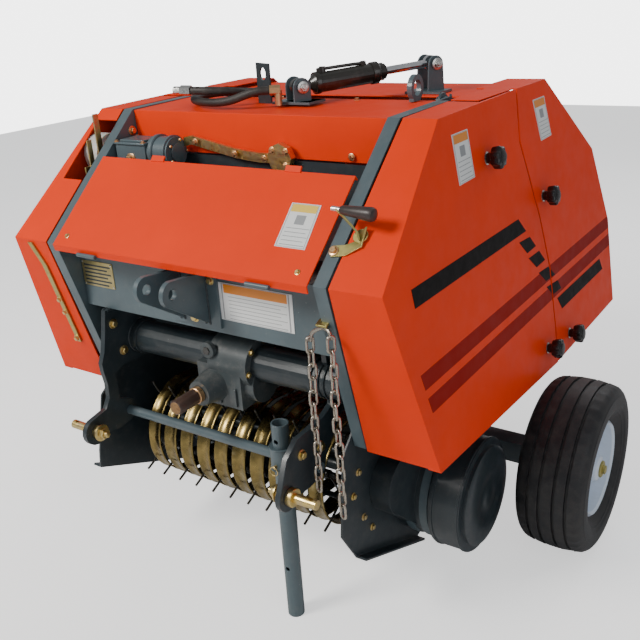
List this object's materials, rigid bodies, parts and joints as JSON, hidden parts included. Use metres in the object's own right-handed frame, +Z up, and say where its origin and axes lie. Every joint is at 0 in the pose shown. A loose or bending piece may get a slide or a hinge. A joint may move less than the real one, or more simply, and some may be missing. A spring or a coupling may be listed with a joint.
{
  "type": "round baler",
  "caption": "Compact three-point-hitch round baler with orange covers, tined pickup, hydraulic tailgate, side wheels and a parking stand.",
  "frame": {"origin": "on the ground, at the middle of the machine's outline seen from above", "axes": "+Z up, -Y towards the hitch and the tractor, +X to the machine's left side; X runs along the wheels' axle"},
  "size_m": [1.56, 1.455, 1.2757],
  "materials": {
    "orange_paint": "gloss enamel",
    "frame_paint": "satin enamel",
    "dark_paint": "satin enamel",
    "zinc_plate": "yellow zinc plate on steel",
    "bare_steel": "bright zinc plate",
    "chrome_rod": "polished",
    "tyre": "ribbed rubber",
    "rim_paint": "gloss enamel",
    "bottle": "translucent white",
    "hose_rubber": "matt, braided sleeve"
  },
  "bodies": {
    "baler": {"left_side_frame": "frame_paint", "right_side_frame": "frame_paint", "front_beam": "frame_paint", "top_link_bracket": "frame_paint", "chamber_front_wall": "dark_paint", "throat_pan": "dark_paint", "chamber_floor": "dark_paint", "top_deck": "orange_paint", "lifting_eye": "frame_paint", "left_front_cover": "orange_paint", "right_front_cover": "orange_paint", "cylinder_base": "dark_paint", "left_hitch_arm": "dark_paint", "right_hitch_arm": "dark_paint", "left_hitch_pin": "bare_steel", "right_hitch_pin": "bare_steel", "hitch_bar": "frame_paint", "cross_tube": "dark_paint", "gearbox": "dark_paint", "drive_guard": "dark_paint", "pickup_bands": "zinc_plate", "left_pickup_side": "dark_paint", "right_pickup_side": "dark_paint", "axle_beam": "frame_paint", "twine_drive": "frame_paint", "twine_arm": "zinc_plate", "oil_bottle": "bottle", "tension_lever": "zinc_plate", "latch_bar": "zinc_plate", "trip_lever": "zinc_plate", "safety_chains": "bare_steel", "hydraulic_hose": "hose_rubber", "hose_coupler": "zinc_plate", "hose_elbow": "zinc_plate"},
    "tailgate": {"left_tailgate_side": "frame_paint", "right_tailgate_side": "frame_paint", "tailgate_shell": "orange_paint", "left_rear_cover": "orange_paint", "right_rear_cover": "orange_paint", "rod_bracket": "dark_paint"},
    "hood": {"hood": "orange_paint"},
    "cylinder_barrel": {"cylinder_barrel": "dark_paint"},
    "cylinder_rod": {"cylinder_rod": "chrome_rod"},
    "left_wheel": {"left_tyre": "tyre", "left_rim": "rim_paint"},
    "right_wheel": {"right_tyre": "tyre", "right_rim": "rim_paint"},
    "input_shaft": {"input_shaft": "bare_steel"},
    "pickup_reel": {"pickup_reel": "dark_paint"},
    "front_roller": {"front_roller": "dark_paint"},
    "throat_roller": {"throat_roller": "dark_paint"},
    "rear_roller": {"rear_roller": "dark_paint"},
    "parking_stand": {"parking_stand": "frame_paint"}
  },
  "joints": [
    {"name": "tailgate_hinge", "type": "hinge", "parent": "baler", "child": "tailgate", "pos_m": [0, -0.06, 1.186], "axis": [1, 0, 0], "range_deg": [0, 50]},
    {"name": "cylinder_pivot", "type": "hinge", "parent": "baler", "child": "cylinder_barrel", "pos_m": [0.051, -0.2, 1.234], "axis": [0.752, -0.4727, -0.4594], "range_deg": [0, 23.56]},
    {"name": "cylinder_slide", "type": "slide", "parent": "cylinder_barrel", "child": "cylinder_rod", "axis": [0.5575, 0.828, 0.0607], "range_m": [-0.05845, 0]},
    {"name": "hood_hinge", "type": "hinge", "parent": "baler", "child": "hood", "pos_m": [0, -0.6626, 0.9223], "axis": [1, 0, 0], "range_deg": [0, 80]},
    {"name": "left_wheel_spin", "type": "hinge", "parent": "baler", "child": "left_wheel", "pos_m": [0.69, 0.06, 0.23], "axis": [1, 0, 0], "continuous": true},
    {"name": "right_wheel_spin", "type": "hinge", "parent": "baler", "child": "right_wheel", "pos_m": [-0.69, 0.06, 0.23], "axis": [1, 0, 0], "continuous": true},
    {"name": "throat_roller_spin", "type": "hinge", "parent": "baler", "child": "throat_roller", "pos_m": [0, 0.02, 0.53], "axis": [1, 0, 0], "continuous": true},
    {"name": "front_roller_spin", "type": "hinge", "parent": "baler", "child": "front_roller", "pos_m": [0, -0.13, 0.64], "axis": [1, 0, 0], "continuous": true},
    {"name": "rear_roller_spin", "type": "hinge", "parent": "tailgate", "child": "rear_roller", "pos_m": [0, 0.33, 0.53], "axis": [1, 0, 0], "continuous": true},
    {"name": "pickup_reel_spin", "type": "hinge", "parent": "baler", "child": "pickup_reel", "pos_m": [0, -0.4, 0.345], "axis": [1, 0, 0], "continuous": true},
    {"name": "input_shaft_spin", "type": "hinge", "parent": "baler", "child": "input_shaft", "pos_m": [0, -0.62, 0.585], "axis": [0, 1, 0], "continuous": true},
    {"name": "stand_slide", "type": "slide", "parent": "baler", "child": "parking_stand", "axis": [0, 0, 1], "range_m": [0, 0.18]}
  ],
  "couplings": [
    {"joint": "cylinder_pivot", "follows": "tailgate_hinge", "ratio": 0.47102},
    {"joint": "cylinder_slide", "follows": "tailgate_hinge", "m_per_rad": -0.06686},
    {"joint": "front_roller_spin", "follows": "throat_roller_spin", "ratio": 1},
    {"joint": "rear_roller_spin", "follows": "throat_roller_spin", "ratio": 1},
    {"joint": "pickup_reel_spin", "follows": "throat_roller_spin", "ratio": -0.6},
    {"joint": "input_shaft_spin", "follows": "throat_roller_spin", "ratio": 2.5}
  ]
}
